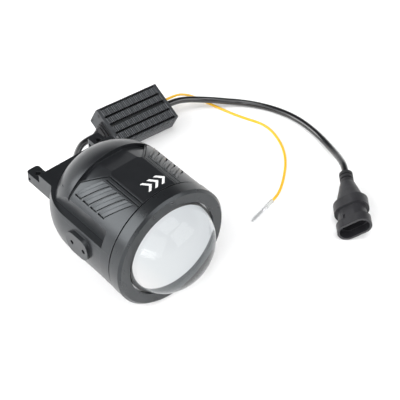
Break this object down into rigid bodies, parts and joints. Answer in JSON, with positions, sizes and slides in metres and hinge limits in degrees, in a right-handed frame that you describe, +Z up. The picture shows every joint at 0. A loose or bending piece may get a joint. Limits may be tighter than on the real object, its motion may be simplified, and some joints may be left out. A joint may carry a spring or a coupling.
{
  "type": "fog light",
  "caption": "Round projector fog light with domed lens, black finned body and rear ears, driver box, cable with oval plug and control wire.",
  "frame": {"origin": "on the optical axis, in the plane of the front edge of the round 90 mm seat of the bezel", "axes": "-Y is the way the beam leaves, +X is to the right of a person facing the lens, +Z is up; the surface it lies on is z = -45 mm"},
  "size_m": [0.2362, 0.2131, 0.09],
  "materials": {
    "anodised_body": "satin black anodised",
    "driver_aluminium": "satin black anodised",
    "mark_ink": "flat white print",
    "lens_glass": "clear polished",
    "retainer_steel": "satin black",
    "seal_rubber": "matt",
    "gland_nylon": "satin",
    "screw_steel": "zinc plated",
    "core_aluminium": "machined",
    "reflector_chrome": "mirror",
    "circuit_board": "solder mask",
    "led_phosphor": "phosphor",
    "shield_steel": "matt black",
    "coil_copper": "enamelled copper winding",
    "plunger_steel": "ground",
    "driver_parts": "mixed electronic parts",
    "cable_sheath": "smooth PVC sheath",
    "wire_insulation": "yellow PVC insulation",
    "sleeve_clear": "clear heat-shrink sleeve",
    "tinned_metal": "tinned",
    "plug_plastic": "moulded nylon"
  },
  "bodies": {
    "lamp": {"bezel_ring": "anodised_body", "upper_cover": "anodised_body", "lower_housing": "anodised_body", "rear_bracket": "anodised_body", "driver_body": "driver_aluminium", "driver_inlet_cap": "driver_aluminium", "driver_outlet_cap": "driver_aluminium", "printed_mark": "mark_ink", "lens": "lens_glass", "lens_retainer": "retainer_steel", "driver_screws": "retainer_steel", "bezel_seal": "seal_rubber", "lens_seal": "seal_rubber", "housing_gasket": "seal_rubber", "cable_gland": "gland_nylon", "inlet_boot": "gland_nylon", "outlet_gland": "gland_nylon", "plug_grommet": "gland_nylon", "housing_screws": "screw_steel", "core_screws": "screw_steel", "holder_screws": "screw_steel", "earth_screw": "screw_steel", "shield_pin": "screw_steel", "heatsink_core": "core_aluminium", "lens_holder": "core_aluminium", "upper_reflector": "reflector_chrome", "lower_reflector": "reflector_chrome", "low_beam_board": "circuit_board", "high_beam_board": "circuit_board", "driver_board": "circuit_board", "low_beam_leds": "led_phosphor", "high_beam_leds": "led_phosphor", "shield_frame": "shield_steel", "solenoid_yoke": "shield_steel", "solenoid_coil": "coil_copper", "return_spring": "plunger_steel", "driver_components": "driver_parts", "lamp_lead": "cable_sheath", "power_cable": "cable_sheath", "control_wire": "wire_insulation", "wire_sleeve": "sleeve_clear", "crimp_pin": "tinned_metal", "plug_terminals": "tinned_metal", "plug_body": "plug_plastic"},
    "shield": {"cutoff_shield": "shield_steel"},
    "plunger": {"solenoid_plunger": "plunger_steel"}
  },
  "joints": [
    {"name": "plunger_slide", "type": "slide", "parent": "lamp", "child": "plunger", "axis": [0, 0, -1], "range_m": [0, 0.003], "stiffness_N_per_m": 60, "springref_m": -0.0017, "deforming": ["return_spring"]},
    {"name": "shield_flip", "type": "hinge", "parent": "lamp", "child": "shield", "pos_m": [0, 0.0364, -0.016], "axis": [1, 0, 0], "range_deg": [0, 30]}
  ],
  "couplings": [
    {"joint": "shield_flip", "follows": "plunger_slide", "rad_per_m": 174.5}
  ]
}
